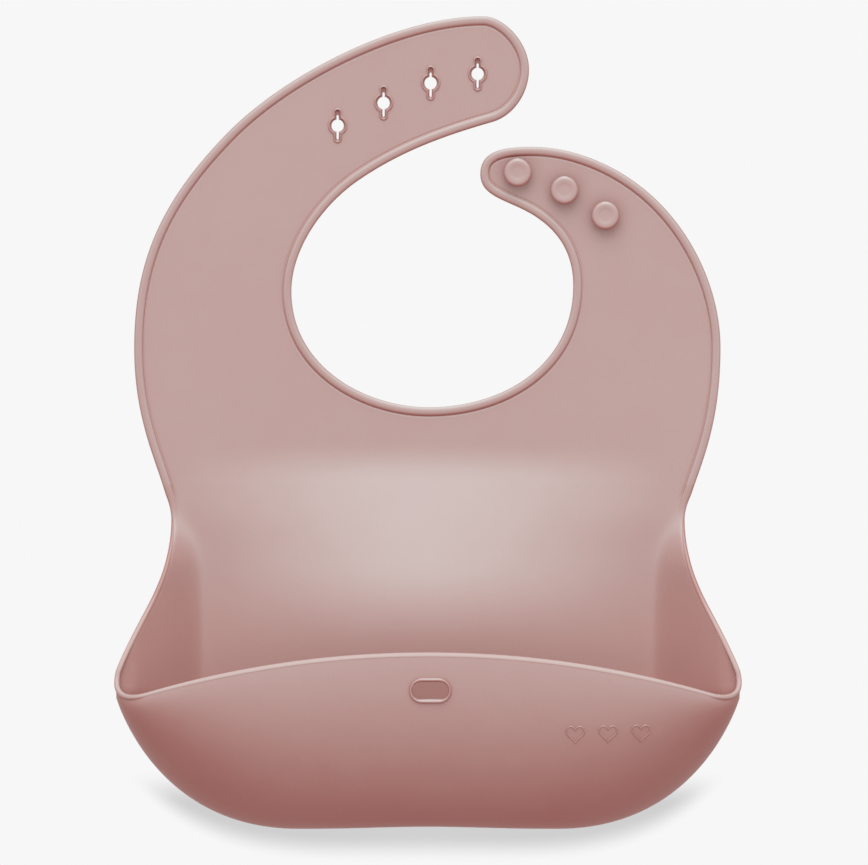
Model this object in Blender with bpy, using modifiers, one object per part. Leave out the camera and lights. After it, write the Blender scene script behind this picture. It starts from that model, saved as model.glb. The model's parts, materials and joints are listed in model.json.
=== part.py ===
"""Silicone catcher bib, modelled as it hangs from the neck of a sitting child.

Frame: metres, +Z up, +X to the right as seen from the front, -Y towards the
front (the food side).  The back face of the flat sheet lies in the plane
Y = 0, and the origin is on that face, on the centre line, just below the neck
opening.  Left and right in the names are as seen from the front.

All dimensions below are millimetres; MM turns them into metres.
"""
import bpy
import bmesh
import math
from itertools import pairwise
from mathutils import Vector, Matrix

MM = 0.001

# ----------------------------------------------------------------- dimensions
SHEET_T = 2.0          # thickness of the flat sheet
BEAD_W = 3.6           # width of the raised edge bead
BEAD_H = 1.0           # height of the bead above the sheet's front face
GAP = 0.3              # clearance between neighbouring pieces

FOLD_Z = -9.4          # fold line across the chest, under the neck opening
NECK = (1.8, 55.5)     # centre of the neck opening (X, Z)
LEFT_CUTS = (6.0, 45.0, 82.0)    # flex lines of the left strap, degrees up from -X
RIGHT_CUTS = (6.0, 46.0)         # flex lines of the right strap, degrees up from +X

# Anchors of smooth paths: X, Z, tangent direction in degrees, handle in, handle out.
# The flat sheet: up the left side, round the long strap, down round the neck
# opening, round the short strap and down the right side.
OUTLINE = (
    (-98.4, -35.6, 90, 0.0, 16.0),      # left waist
    (-112.5, 33.4, 90, 35.3, 33.5),     # widest point, left
    (-76.8, 115.7, 45.7, 36.3, 30.2),   # left shoulder
    (21.2, 160.4, 0, 33.6, 7.5),        # top of the long strap
    (38.7, 140.0, -90, 10.7, 9.2),      # end of the long strap
    (24.7, 119.9, -164, 8.3, 19.9),     # lower corner of the long strap
    (-26.4, 97.7, -145.8, 19.4, 17.5),  # neck opening, upper left
    (-52.3, 55.1, -90, 15.7, 28.8),     # neck opening, left
    (0.3, 10.7, 0, 24.6, 28.9),         # neck opening, bottom
    (55.6, 57.2, 90, 30.2, 13.1),       # neck opening, right
    (35.3, 86.9, 155, 15.6, 9.1),       # under the short strap
    (20.0, 100.0, 90, 7.4, 9.3),        # end of the short strap
    (39.8, 110.4, 0, 10.0, 15.9),       # top of the short strap
    (85.6, 91.8, -42.1, 17.1, 23.4),    # right shoulder
    (112.0, 33.4, -90, 20.0, 36.8),     # widest point, right
    (98.4, -35.6, -90, 15.9, 0.0),      # right waist
)
OUTLINE_STEP = 4.5     # rough distance between points of the outline
OUTLINE_MIN_STEPS = 5  # fewest steps between two anchors

# Right half of the pocket's silhouette
CHEST_HALF = 105.5             # half width at the fold line
WAIST = (98.4, -30.1)          # narrowest point of the sheet
CORNER = (119.8, -92.0)        # outermost corner of the mouth
SIDE_ANCHORS = (
    (*WAIST, -90, 0.0, 18.8),
    (110.2, -70.4, -62, 9.0, 7.0),      # middle of the flaring side edge
    (*CORNER, -90, 3.0, 0.0),
)
SIDE_STEPS = (24, 24)
LOWER_ANCHORS = (
    (*CORNER, -90, 0.0, 31.5),
    (50.0, -150.5, 180, 37.5, 21.0),    # lowest point of the belly
    (0.0, -149.6, 180, 15.0, 0.0),      # belly on the centre line
)
LOWER_STEPS = (48, 24)

MOUTH_Z = CORNER[1] - 3.0      # height where the back wall joins the pocket base
CREASE_X = 87.5        # where a gusset leaves the back panel
CREASE_GAP = 1.7       # the walls lean together inside the crease
HUMP = 12.0            # how far the scoop stands forward of the sheet
HUMP_Z = -64.0         # height where it stands forward most
HUMP_FOOT = 0.40       # share of it left at the pocket's foot
HUMP_FALL = 66.0       # height over which it falls to that share
HUMP_POWER = 1.3       # how it fades towards the creases
CORNER_Y = 28.0        # how far forward the mouth's corners stand
LEAN_IN = (-20.0, 74.0)        # gussets lean forward: start height, drop to full lean
LEAN_OUT = (-96.0, 46.0)       # and back again: start height, drop to none
LEAN_POWER = 1.2               # how the lean grows from crease to edge
MIN_GUSSET_W = 4.0             # least gusset width used in working out the lean

RIM_Y = 55.0           # how far forward the middle of the front rim stands
RIM_MID_Z = -83.1      # top of the front rim on the centre line
RIM_DROP = 18.0        # how much lower the rim is near the corners
RIM_DROP_X = 113.0     # where it is that much lower
RIM_DROP_POWER = 2.1
RIM_BOW_POWERS = (2.6, 0.4545)  # inner and outer power of the rim's bowed plan
FOOT_R = 7.0           # bend radius along the pocket's foot
WALL_T = 2.0           # thickness of the pocket walls
RIM_R = 1.3            # radius of the rounded rim
RIM_INSET = WALL_T / 2         # from a wall's outer face in to the rim's middle line
FRONT_HALF = 99.7      # half width of the flexing part of the front wall
FLEX_Z = -128.0        # height of the flex line across the front wall
FLEX_GAP = 0.4         # clearance along the front wall's cuts

U_END = 0.93           # pocket walls stop here; u = 1 is the corner
BASE_V = -0.985        # where the base starts on the back wall; v = -1 is mouth height
FOOT_V = 0.12          # where it ends on the front wall; v = 1 is the rim
FOOT_V_GAP = 0.016     # gap in v between the base and the front wall

ROSE = (0.53, 0.33, 0.30)
DEEP = (0.42, 0.22, 0.20)
PALE = (0.60, 0.42, 0.39)

# ------------------------------------------------------------------- clean up
for old in list(bpy.data.objects):
    bpy.data.objects.remove(old, do_unlink=True)

parts = bpy.data.collections.new("silicone_bib")
cutters = bpy.data.collections.new("cutters")
bpy.context.scene.collection.children.link(parts)
bpy.context.scene.collection.children.link(cutters)


def silicone(name, colour):
    material = bpy.data.materials.new(name)
    material.use_nodes = True
    shader = material.node_tree.nodes["Principled BSDF"]
    shader.inputs["Base Color"].default_value = (*colour, 1)
    shader.inputs["Roughness"].default_value = 0.55
    return material


# -------------------------------------------------------------- flat geometry
def bezier(p0, p1, p2, p3, count):
    """count points of a cubic from p0 up to, and not including, p3."""
    points = []
    for i in range(count):
        t = i / count
        weights = ((1 - t) ** 3, 3 * (1 - t) ** 2 * t, 3 * (1 - t) * t * t, t ** 3)
        points.append(tuple(sum(w * c for w, c in zip(weights, coords))
                            for coords in zip(p0, p1, p2, p3)))
    return points


def smooth_path(anchors, steps):
    """Points of the path through the anchors, with steps[i] points from anchor i on."""
    points = []
    for (a, b), count in zip(pairwise(anchors), steps):
        dir_a, dir_b = math.radians(a[2]), math.radians(b[2])
        leave = (a[0] + math.cos(dir_a) * a[4], a[1] + math.sin(dir_a) * a[4])
        arrive = (b[0] - math.cos(dir_b) * b[3], b[1] - math.sin(dir_b) * b[3])
        points += bezier(a[:2], leave, arrive, b[:2], count)
    points.append(anchors[-1][:2])
    return points


def arc(cx, cz, radius, start, end, count):
    """count points of a circle from angle start to angle end, both included."""
    angles = [start + (end - start) * i / (count - 1) for i in range(count)]
    return [(cx + radius * math.cos(a), cz + radius * math.sin(a)) for a in angles]


# -------------------------------------------------------------- object makers
def add(name, mesh, material):
    ob = bpy.data.objects.new(name, mesh)
    parts.objects.link(ob)
    ob.data.materials.append(material)
    return ob


def add_cutter(name, mesh):
    ob = bpy.data.objects.new(name, mesh)
    cutters.objects.link(ob)
    ob.hide_render = True
    ob.display_type = "WIRE"
    return ob


def outline_mesh(name, loops, half, y):
    """Flat outline in the XZ plane, filled and extruded by half each way about y.
    Welded into one closed mesh.  Further loops are holes."""
    curve = bpy.data.curves.new(name, "CURVE")
    curve.dimensions = "2D"
    curve.fill_mode = "BOTH"
    curve.extrude = half * MM
    for loop in loops:
        spline = curve.splines.new("POLY")
        spline.points.add(len(loop) - 1)
        for point, (x, z) in zip(spline.points, loop):
            point.co = (x * MM, z * MM, 0, 1)
        spline.use_cyclic_u = True
    ob = bpy.data.objects.new(name, curve)
    bpy.context.scene.collection.objects.link(ob)
    ob.matrix_world = Matrix.Translation((0, y * MM, 0)) @ Matrix.Rotation(math.pi / 2, 4, "X")
    bpy.context.view_layer.update()
    depsgraph = bpy.context.evaluated_depsgraph_get()
    mesh = bpy.data.meshes.new_from_object(ob.evaluated_get(depsgraph))
    mesh.transform(ob.matrix_world)
    bpy.data.objects.remove(ob, do_unlink=True)
    bm = bmesh.new()
    bm.from_mesh(mesh)
    bmesh.ops.remove_doubles(bm, verts=bm.verts, dist=1e-6)
    bmesh.ops.recalc_face_normals(bm, faces=bm.faces)
    bm.to_mesh(mesh)
    bm.free()
    mesh.name = name
    return mesh


def prism(name, loop, y0, y1):
    """Cutter with the outline loop, from depth y0 to y1."""
    return add_cutter(name, outline_mesh(name, [loop], (y1 - y0) / 2, (y0 + y1) / 2))


def boolean(ob, cutter, operation):
    mod = ob.modifiers.new(operation.lower() + "_" + cutter.name, "BOOLEAN")
    mod.operation = operation
    mod.solver = "EXACT"
    mod.object = cutter


def patch(name, surface, segments, material, flip=True):
    """Curved wall: a grid carried onto surface(a, b), a and b from 0 to 1,
    thickened inwards from its outer face."""
    bm = bmesh.new()
    bmesh.ops.create_grid(bm, x_segments=segments[0], y_segments=segments[1], size=0.5)
    for v in bm.verts:
        v.co = surface(v.co.x + 0.5, v.co.y + 0.5) * MM
    if flip:
        bmesh.ops.reverse_faces(bm, faces=bm.faces)
    mesh = bpy.data.meshes.new(name)
    bm.to_mesh(mesh)
    bm.free()
    ob = add(name, mesh, material)
    solid = ob.modifiers.new("wall", "SOLIDIFY")
    solid.thickness = WALL_T * MM
    solid.offset = -1.0
    solid.use_even_offset = True
    mesh.shade_smooth()
    mesh.set_sharp_from_angle(angle=math.radians(40))
    return ob


def rim_tube(name, points, material):
    """Round bar along the points, with closed ends."""
    curve = bpy.data.curves.new(name, "CURVE")
    curve.dimensions = "3D"
    curve.bevel_depth = RIM_R * MM
    curve.bevel_resolution = 2
    curve.use_fill_caps = True
    spline = curve.splines.new("POLY")
    spline.points.add(len(points) - 1)
    for target, (x, y, z) in zip(spline.points, points):
        target.co = (x * MM, y * MM, z * MM, 1)
    add(name, curve, material)


# ---------------------------------------------------------- flat sheet pieces
def sheet_blank():
    """The whole flat sheet with its raised edge bead, before it is parted."""
    steps = [max(OUTLINE_MIN_STEPS, round(math.dist(a[:2], b[:2]) / OUTLINE_STEP))
             for a, b in pairwise(OUTLINE)]
    mesh = outline_mesh("blank", [smooth_path(OUTLINE, steps)], SHEET_T / 2, -SHEET_T / 2)
    bm = bmesh.new()
    bm.from_mesh(mesh)
    front = [f for f in bm.faces if f.normal.y < -0.99]
    ring = bmesh.ops.inset_region(bm, faces=front, thickness=BEAD_W * MM,
                                  use_even_offset=True, use_boundary=True)["faces"]
    raised = bmesh.ops.extrude_face_region(bm, geom=ring)["geom"]
    bmesh.ops.translate(bm, vec=(0, -BEAD_H * MM, 0),
                        verts=[g for g in raised if isinstance(g, bmesh.types.BMVert)])
    bmesh.ops.delete(bm, geom=[f for f in ring if f.is_valid], context="FACES")
    bmesh.ops.remove_doubles(bm, verts=bm.verts, dist=1e-6)
    bmesh.ops.recalc_face_normals(bm, faces=bm.faces)
    bm.to_mesh(mesh)
    bm.free()
    return mesh


BLANK = sheet_blank()

# Distances from the neck centre along a flex line, for the cutters
NEAR = 7.6             # inside the neck opening
FAR = 190.0            # beyond the sheet
WEDGE_TIP = 228.0      # middle of a wedge's outer end


def flex_point(side, degrees, distance, shift=0.0):
    """Point at distance from the neck centre, at degrees up from the side's
    horizontal, moved sideways by shift towards larger angles."""
    angle = math.radians(degrees)
    c, s = math.cos(angle), math.sin(angle)
    return (NECK[0] + side * (c * distance - s * shift),
            NECK[1] + s * distance + c * shift)


def sheet_piece(label, material_label, cutter_label, loop):
    """The part of the blank inside the loop."""
    mesh = BLANK.copy()
    mesh.name = label
    ob = add(label, mesh, silicone(f"{material_label}_silicone", ROSE))
    boolean(ob, prism(f"cut_{cutter_label}", loop, -20, 20), "INTERSECT")
    return ob


def wedge(side, low, high):
    """Outline of the strip between two flex lines."""
    return [flex_point(side, low, NEAR, GAP / 2),
            flex_point(side, low, FAR, GAP / 2),
            flex_point(side, (low + high) / 2, WEDGE_TIP),
            flex_point(side, high, FAR, -GAP / 2),
            flex_point(side, high, NEAR, -GAP / 2)]


def chest_loop():
    """Outline below the lowest flex lines and above the fold."""
    inner = 9.5
    bottom = FOLD_Z + GAP / 2
    return [flex_point(-1, LEFT_CUTS[0], FAR, -GAP / 2),
            flex_point(-1, LEFT_CUTS[0], inner, -GAP / 2),
            flex_point(1, RIGHT_CUTS[0], inner, -GAP / 2),
            flex_point(1, RIGHT_CUTS[0], FAR, -GAP / 2),
            (FAR, bottom), (-FAR, bottom)]


# A tip is what lies past the last flex line, on that strap's side only
LEFT_TIP = [flex_point(-1, LEFT_CUTS[2], 38.0, GAP / 2),
            (16, 112), (33, 116), (60, 125), (60, 190),
            flex_point(-1, LEFT_CUTS[2], FAR, GAP / 2)]
RIGHT_TIP = [flex_point(1, RIGHT_CUTS[1], NEAR, GAP / 2),
             flex_point(1, RIGHT_CUTS[1], 95.0, GAP / 2),
             (45, 113.5), (12, 112.5), (8, 90)]

sheet_piece("chest_panel", "chest", "chest", chest_loop())
sheet_piece("left_shoulder_band", "left_shoulder", "left_shoulder", wedge(-1, *LEFT_CUTS[:2]))
left_middle = sheet_piece("left_strap_middle", "left_middle", "left_middle",
                          wedge(-1, *LEFT_CUTS[1:]))
left_tip = sheet_piece("left_strap_tip", "left_tip", "left_tip", LEFT_TIP)
sheet_piece("right_shoulder_band", "right_shoulder", "right_shoulder", wedge(1, *RIGHT_CUTS))
sheet_piece("right_strap_tip", "right_tip", "right_tip", RIGHT_TIP)


# ------------------------------------------------------------------- keyholes
KEYHOLE_AT = ((-34.6, 118.5), (-17.0, 127.2), (1.0, 134.8), (19.0, 138.3))
KEY_R = 2.35           # radius of the through hole
KEY_SLIT = 1.0         # width of the slits above and below it
KEY_SLIT_H = 10.8      # height over both slits
KEY_LIP_R = 3.7        # radius of the lip round the hole
KEY_LIP_W = 3.2        # width of the lip round the slits
KEY_LIP_H = 13.4       # height over the whole lip
KEY_LIP_T = 2.6        # thickness of the lip


def keyhole_loop(cx, cz, radius, width, height):
    """Circle with an upright, round-ended slot through it, counter-clockwise."""
    half = width / 2
    tip = height / 2 - half
    join = math.asin(half / radius)
    points = []
    for side, turn in ((1, 0.0), (-1, math.pi)):
        points += arc(cx, cz + side * tip, half, turn, turn + math.pi, 7)
        points += arc(cx, cz, radius, turn + math.pi / 2 + join,
                      turn + 3 * math.pi / 2 - join, 9)
    return points


def keyhole(number, x, z, host):
    """Lip round a through hole, let into the host piece."""
    hole = prism(f"cut_keyhole_{number}",
                 keyhole_loop(x, z, KEY_LIP_R + GAP, KEY_LIP_W + 2 * GAP, KEY_LIP_H + 2 * GAP),
                 -6, 4)
    boolean(host, hole, "DIFFERENCE")
    name = f"keyhole_lip_{number}"
    loops = [keyhole_loop(x, z, KEY_LIP_R, KEY_LIP_W, KEY_LIP_H),
             keyhole_loop(x, z, KEY_R, KEY_SLIT, KEY_SLIT_H)]
    add(name, outline_mesh(name, loops, KEY_LIP_T / 2, -KEY_LIP_T / 2),
        silicone(f"keyhole_silicone_{number}", PALE))


for i, (x, z) in enumerate(KEYHOLE_AT):
    keyhole(i + 1, x, z, left_middle if i < 2 else left_tip)


# ---------------------------------------------------------------------- studs
STUD_AT = ((34.3, 101.1), (52.2, 94.0), (67.9, 84.3))
STUD_R = 5.1
STUD_NECK_R = 2.2
STUD_NECK_L = 2.2
STUD_HEAD_T = 2.8
STUD_TOP_EDGE_R = 1.2      # rounding of the head's front edge
STUD_BACK_EDGE_R = 0.7     # rounding of the head's back edge
STUD_NECK_BEVEL = 0.5      # between neck and head
STUD_DISH = 0.35           # depth of the dish in the head
STUD_DISH_FLOOR = 0.42     # radius of the dish's floor, share of the head's
STUD_DISH_MOUTH = 0.58     # radius of the dish's mouth, share of the head's
STUD_STEPS = 28


def stud_profile():
    """Turned outline, from the middle of the head out and down to the foot."""
    top = STUD_NECK_L + STUD_HEAD_T
    edge, back = STUD_TOP_EDGE_R, STUD_BACK_EDGE_R
    return [
        (0.0, top - STUD_DISH),
        (STUD_R * STUD_DISH_FLOOR, top - STUD_DISH),
        (STUD_R * STUD_DISH_MOUTH, top),
        *arc(STUD_R - edge, top - edge, edge, math.pi / 2, 0.0, 6),
        *arc(STUD_R - back, STUD_NECK_L + back, back, 0.0, -math.pi / 2, 4),
        (STUD_NECK_R + STUD_NECK_BEVEL, STUD_NECK_L),
        (STUD_NECK_R, STUD_NECK_L - STUD_NECK_BEVEL),
        (STUD_NECK_R, 0.0),
        (0.0, 0.0),
    ]


def stud(number, x, z):
    name = f"stud_{number}"
    bm = bmesh.new()
    verts = [bm.verts.new((radius * MM, 0, height * MM)) for radius, height in stud_profile()]
    for pair in pairwise(verts):
        bm.edges.new(pair)
    mesh = bpy.data.meshes.new(name)
    bm.to_mesh(mesh)
    bm.free()
    ob = add(name, mesh, silicone(f"stud_silicone_{number}", PALE))
    screw = ob.modifiers.new("turn", "SCREW")
    screw.axis = "Z"
    screw.steps = STUD_STEPS
    screw.render_steps = STUD_STEPS
    screw.use_merge_vertices = True
    screw.merge_threshold = 1e-6
    ob.rotation_euler = (math.pi / 2, 0, 0)      # turned axis towards the front
    ob.location = (x * MM, -(SHEET_T + GAP) * MM, z * MM)


for i, (x, z) in enumerate(STUD_AT):
    stud(i + 1, x, z)


# ------------------------------------------------------------ pocket surfaces
LOWER_EDGE = smooth_path(LOWER_ANCHORS, LOWER_STEPS)
SILHOUETTE = smooth_path(SIDE_ANCHORS, SIDE_STEPS) + LOWER_EDGE


def smooth(t):
    t = min(1.0, max(0.0, t))
    return t * t * (3 - 2 * t)


def half_width(z):
    """Half width of the silhouette at height z."""
    if z >= WAIST[1]:
        share = (z - WAIST[1]) / (FOLD_Z - WAIST[1])
        return WAIST[0] + (CHEST_HALF - WAIST[0]) * share ** 1.6
    for (x0, z0), (x1, z1) in pairwise(SILHOUETTE):
        if z1 <= z <= z0 and z0 > z1:
            return x0 + (x1 - x0) * (z0 - z) / (z0 - z1)
    return SILHOUETTE[-1][0]


def back_y(x, z):
    """Depth of the outer (back) surface, negative towards the front."""
    x = abs(x)
    if x <= CREASE_X:
        rise = smooth((FOLD_Z - z) / (FOLD_Z - HUMP_Z))
        fall = 1 - (1 - HUMP_FOOT) * smooth((HUMP_Z - z) / HUMP_FALL)
        return -HUMP * rise * fall * (1 - (x / CREASE_X) ** 2) ** HUMP_POWER
    out = (x - CREASE_X) / max(half_width(z) - CREASE_X, MIN_GUSSET_W)
    lean = (smooth((LEAN_IN[0] - z) / LEAN_IN[1])
            * (1 - smooth((LEAN_OUT[0] - z) / LEAN_OUT[1])))
    return -CORNER_Y * lean * min(1.0, out) ** LEAN_POWER


def foot_radius(u):
    return FOOT_R * (1 - u ** 4)


def contour(u):
    """Point of the lower contour for u from 0 (centre) towards 1 (corner): where
    a line from the middle of the mouth, turned outwards by u, crosses it."""
    angle = math.radians(90 * u)
    d = Vector((math.sin(angle), -math.cos(angle)))
    for (x0, z0), (x1, z1) in pairwise(LOWER_EDGE):
        offset0 = x0 * d.y - (z0 - MOUTH_Z) * d.x
        offset1 = x1 * d.y - (z1 - MOUTH_Z) * d.x
        if offset0 * offset1 <= 0:
            break
    share = offset0 / (offset0 - offset1)
    x, z = Vector((x0 + (x1 - x0) * share, z0 + (z1 - z0) * share))
    return x, back_y(x - 0.5, z) - foot_radius(u), z


def rim_point(x):
    """Depth and height of the front rim's crown at x."""
    x = abs(x)
    inner, outer = RIM_BOW_POWERS
    z = RIM_MID_Z - RIM_DROP * (x / RIM_DROP_X) ** RIM_DROP_POWER
    y = -CORNER_Y - (RIM_Y - CORNER_Y) * (1 - (x / CORNER[0]) ** inner) ** outer
    return y, z


def hull(u, v):
    """Outer surface of the pocket.  u: -1 left corner .. 1 right corner.
    v: -1 on the back wall at mouth height, 0 along the foot, 1 at the front rim."""
    side = -1 if u < 0 else 1
    u = abs(u)
    foot_x, foot_y, foot_z = contour(u)
    top_x = CORNER[0] * u
    if v >= 0:
        rim_y, rim_z = rim_point(top_x)
        angle = v * math.pi / 2
        share = 1 - math.cos(angle)
        return Vector((side * (foot_x + (top_x - foot_x) * share),
                       foot_y + (rim_y - foot_y) * math.sin(angle),
                       foot_z + (rim_z - foot_z) * share))
    # straight down the back wall, then round the foot's bend
    length = math.hypot(foot_x - top_x, foot_z - MOUTH_Z)
    radius = foot_radius(u)
    straight = length - radius
    distance = (1 + v) * (straight + radius * math.pi / 2)
    if distance <= straight:
        down, forward = distance / length, 0.0
    else:
        angle = (distance - straight) / radius
        down = (straight + radius * math.sin(angle)) / length
        forward = 1 - math.cos(angle)
    x = top_x + (foot_x - top_x) * down
    z = MOUTH_Z + (foot_z - MOUTH_Z) * down
    y = back_y(min(x, half_width(z)), z) * (1 - forward) + foot_y * forward
    return Vector((side * x, y, z))


def front_v(share):
    """v on the front wall at a share of its height from foot to rim."""
    return math.acos(1 - share) * 2 / math.pi


# ------------------------------------------------------------ scoop and sides
GUSSET_Z = MOUTH_Z + 1.6            # lower end of the gussets
GUSSET_EDGE_IN = 2 * RIM_R + 0.6    # the gusset stops short of its rounded edge


def scoop(a, b):
    x = (2 * a - 1) * (CREASE_X - GAP)
    z = MOUTH_Z + GAP + (FOLD_Z - GAP / 2 - MOUTH_Z - GAP) * b
    return Vector((x, back_y(x, z), z))


def gusset(side):
    def surface(a, b):
        z = GUSSET_Z + (FOLD_Z - GAP / 2 - GUSSET_Z) * b
        x0 = CREASE_X + CREASE_GAP
        x = x0 + (half_width(z) - GUSSET_EDGE_IN - x0) * a
        return Vector((side * x, back_y(x, z), z))
    return surface


def side_rim(side):
    """Middle line of the rounded free edge: down the gusset and round the corner."""
    points = []
    z = FOLD_Z - 0.9
    while z > CORNER[1] + 3.0:
        x = half_width(z) - RIM_R
        points.append((x, back_y(x, z) - RIM_INSET, z))
        z -= 4.5
    # the bend round the corner of the mouth
    z = CORNER[1] + 2.0
    start = (half_width(z) - RIM_R, back_y(118, z) - RIM_INSET, z)
    end_x = 106.0
    end_y, end_z = rim_point(end_x)
    end = (end_x, end_y + RIM_INSET, end_z - RIM_R)
    leave = (start[0] + 1.4, start[1] - 1.0, start[2] - 9.5)
    arrive = (end[0] + 9.0, end[1] + 6.0, end[2] - 2.8)
    points += bezier(start, leave, arrive, end, 8) + [end]
    # last point, just short of the front rim
    x = FRONT_HALF + 0.8
    y, z = rim_point(x)
    points.append((x, y + RIM_INSET, z - RIM_R))
    return [(side * x, y, z) for x, y, z in points]


patch("scoop_panel", scoop, (22, 18), silicone("scoop_silicone", ROSE))
for side, label in ((-1, "left"), (1, "right")):
    patch(f"gusset_{label}", gusset(side), (6, 16),
          silicone(f"gusset_{label}_silicone", DEEP), flip=side > 0)
    rim_tube(f"side_rim_{label}", side_rim(side), silicone(f"side_rim_{label}_silicone", PALE))


# --------------------------------------------------------------------- pocket
FRONT_SEGMENTS = (34, 14)
RIM_CLEAR = 2 * RIM_R + 0.45        # the front wall ends this far below the crown
CUT_BOTTOM = -200.0                 # cutters reach from below the pocket
CUT_TOP = -40.0                     # to above its rim


def base(a, b):
    return hull((2 * a - 1) * U_END, BASE_V + (FOOT_V - BASE_V) * b)


def front(a, b):
    u = (2 * a - 1) * U_END
    foot_z = contour(abs(u))[2]
    rim_z = rim_point(CORNER[0] * abs(u))[1]
    v_low = FOOT_V + FOOT_V_GAP
    v_high = front_v((rim_z - RIM_CLEAR - foot_z) / (rim_z - foot_z))
    return hull(u, v_low + (v_high - v_low) * b)


def front_piece(name, label, colour, cutter_label, x0, x1, z0=CUT_BOTTOM, z1=CUT_TOP):
    """The part of the front wall between x0 and x1, and between z0 and z1."""
    ob = patch(name, front, FRONT_SEGMENTS, silicone(f"{label}_silicone", colour))
    box = prism(f"cut_{cutter_label}", [(x0, z0), (x1, z0), (x1, z1), (x0, z1)], -90, 20)
    boolean(ob, box, "INTERSECT")
    return ob


def front_rim(steps=40):
    """Middle line of the front rim, from left to right."""
    half = FRONT_HALF - 0.3
    points = []
    for i in range(steps + 1):
        x = -half + 2 * half * i / steps
        y, z = rim_point(x)
        points.append((x, y + RIM_INSET, z - RIM_R))
    return points


patch("pocket_base", base, (34, 18), silicone("pocket_base_silicone", DEEP))
front_wall = front_piece("pocket_front_wall", "front_wall", ROSE, "front",
                         -FRONT_HALF, FRONT_HALF, z0=FLEX_Z + FLEX_GAP / 2)
front_piece("pocket_belly", "belly", DEEP, "belly",
            -FRONT_HALF, FRONT_HALF, z1=FLEX_Z - FLEX_GAP / 2)
for side, label in ((-1, "left"), (1, "right")):
    front_piece(f"pocket_corner_{label}", f"corner_{label}", DEEP, f"corner_{label}",
                *sorted((side * (FRONT_HALF + FLEX_GAP), side * 140)))
rim_tube("pocket_front_rim", front_rim(), silicone("front_rim_silicone", PALE))


# --------------------------------------------------------------- roll-up slot
SLOT_C = (0.9, -97.3)  # centre of the slot in the front wall (X, Z)
SLOT_W, SLOT_H = 13.9, 6.6
SLOT_LIP_W, SLOT_LIP_H = 15.9, 9.4
SLOT_LIP_T = 3.0
SLOT_LIP_INSET = 0.9   # middle of the lip, behind the wall's outer face
SLOT_CUT_HALF = 6.0    # half depth of the cutter


def stadium(width, height):
    """Round-ended slot outline about the slot's centre."""
    radius = height / 2
    points = []
    for side in (1, -1):
        start = -side * math.pi / 2
        points += arc(SLOT_C[0] + side * (width / 2 - radius), SLOT_C[1], radius,
                      start, start + math.pi, 9)
    return points


def front_wall_at(x, z):
    """Depth and slope of the front wall's outer face near the centre line."""
    u = x / CORNER[0]
    foot_z = contour(abs(u))[2]
    rim_z = rim_point(x)[1]
    below, middle, above = (hull(u, front_v((height - foot_z) / (rim_z - foot_z)))
                            for height in (z - 2, z, z + 2))
    return middle.y, math.atan2(below.y - above.y, above.z - below.z)


SLOT_Y, SLOT_LEAN = front_wall_at(*SLOT_C)


def slot_mesh(name, loops, half, inset=0.0):
    """Flat outline leaning with the wall, about the slot's centre."""
    mesh = outline_mesh(name, loops, half, SLOT_Y + inset)
    centre = Vector((SLOT_C[0], SLOT_Y, SLOT_C[1])) * MM
    mesh.transform(Matrix.Translation(centre) @ Matrix.Rotation(SLOT_LEAN, 4, "X")
                   @ Matrix.Translation(-centre))
    return mesh


slot_loop = stadium(SLOT_LIP_W + 2 * GAP, SLOT_LIP_H + 2 * GAP)
slot_cutter = add_cutter("cut_slot", slot_mesh("cut_slot", [slot_loop], SLOT_CUT_HALF))
boolean(front_wall, slot_cutter, "DIFFERENCE")
lip_loops = [stadium(SLOT_LIP_W, SLOT_LIP_H), stadium(SLOT_W, SLOT_H)]
add("roll_slot_lip", slot_mesh("roll_slot_lip", lip_loops, SLOT_LIP_T / 2, SLOT_LIP_INSET),
    silicone("slot_lip_silicone", PALE))
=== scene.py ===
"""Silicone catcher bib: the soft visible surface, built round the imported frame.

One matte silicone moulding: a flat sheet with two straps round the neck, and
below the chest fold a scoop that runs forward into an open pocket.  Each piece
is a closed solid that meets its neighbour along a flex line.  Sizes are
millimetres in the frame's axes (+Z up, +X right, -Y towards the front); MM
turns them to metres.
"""
import json
import math

import bmesh
import bpy
import numpy as np
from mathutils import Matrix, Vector
from mathutils.geometry import tessellate_polygon


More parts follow.
